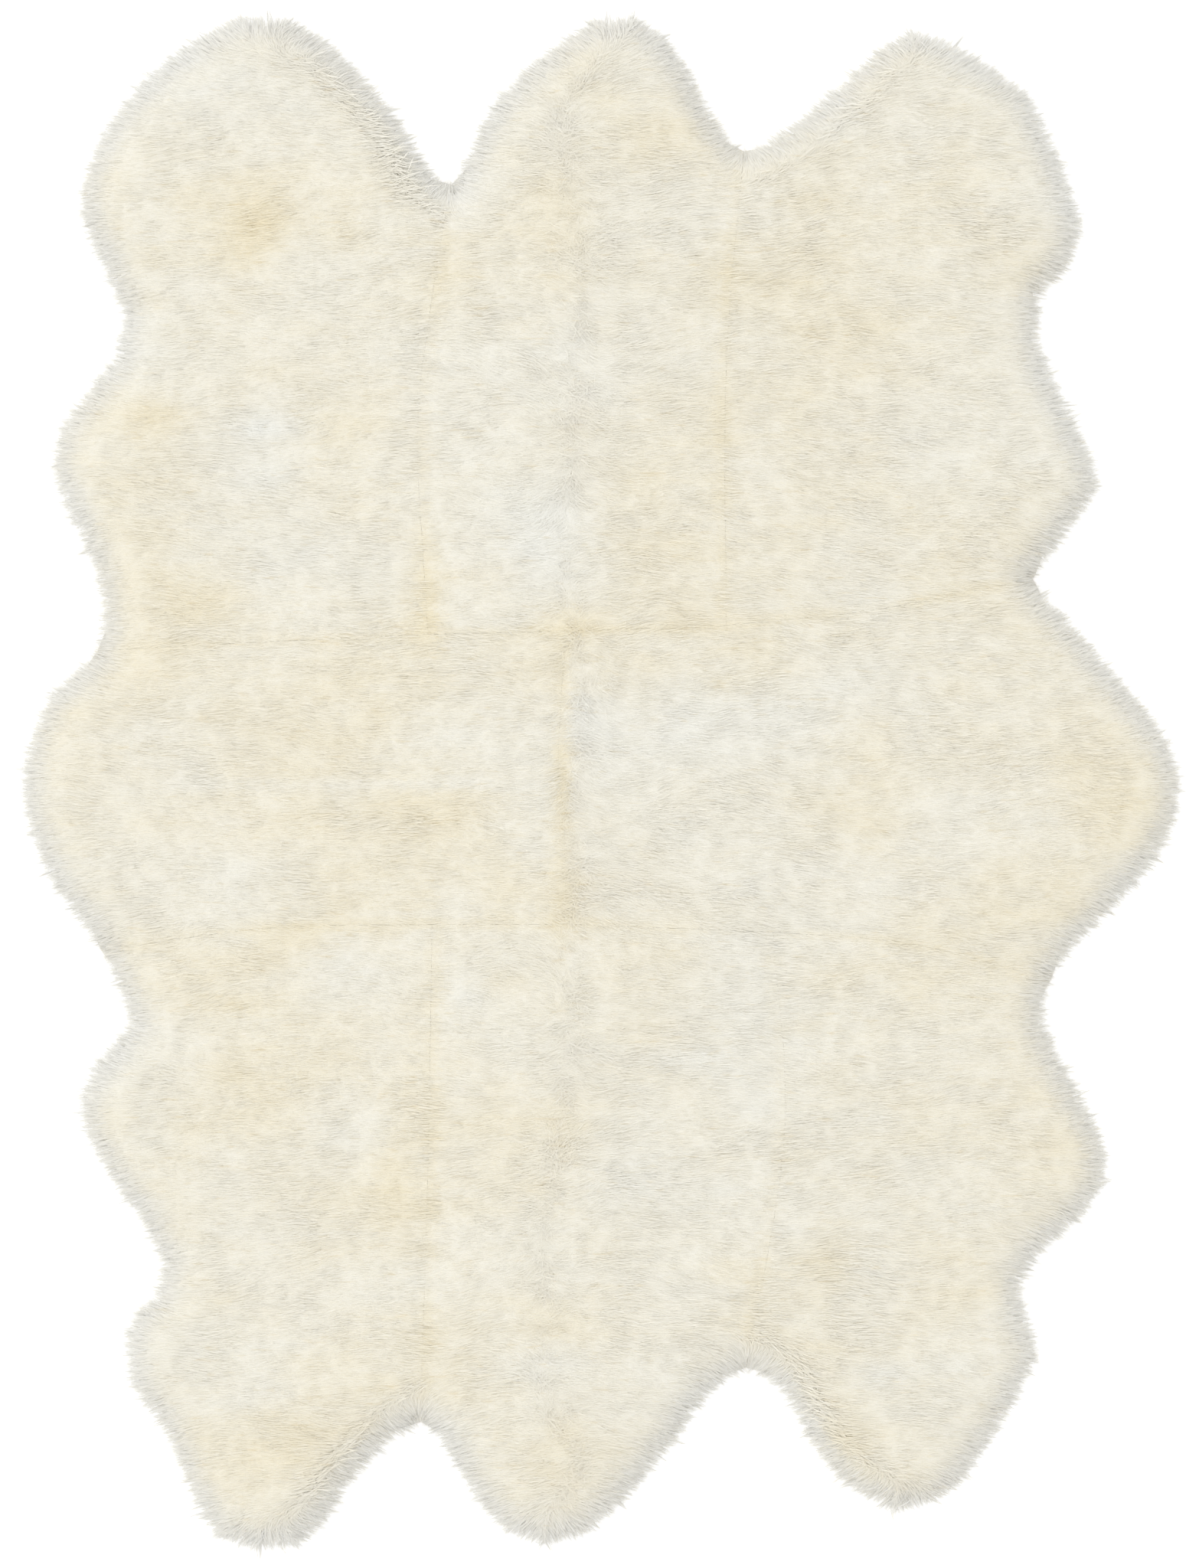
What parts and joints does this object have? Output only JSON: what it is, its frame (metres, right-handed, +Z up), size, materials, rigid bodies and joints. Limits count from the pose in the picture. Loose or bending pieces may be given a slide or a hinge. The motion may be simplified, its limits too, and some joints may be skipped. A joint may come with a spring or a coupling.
{
  "type": "sheepskin rug",
  "caption": "Large shaggy wool rug of whole sheepskin pelts sewn edge to edge, with a lobed outline of necks, legs and rumps, lying flat with the wool side up.",
  "frame": {"origin": "on the flat underside, at the middle of the rug's bounding rectangle", "axes": "+Y along the rug's length towards the row of necks, +X to the right seen from above, +Z up out of the wool"},
  "size_m": [1.8146, 2.3996, 0.056],
  "materials": {
    "fleece": "soft matt brushed wool, ivory with paler and warmer patches",
    "hide": "matt suede on the tanned flesh side, underneath",
    "seam_thread": "waxed linen thread, underneath"
  },
  "bodies": {
    "root": {"pelt_top_left": "fleece", "pelt_top_middle": "fleece", "pelt_top_right": "fleece", "pelt_middle_left": "fleece", "pelt_middle_right": "fleece", "pelt_bottom_left": "fleece", "pelt_bottom_middle": "fleece", "pelt_bottom_right": "fleece"}
  },
  "joints": []
}
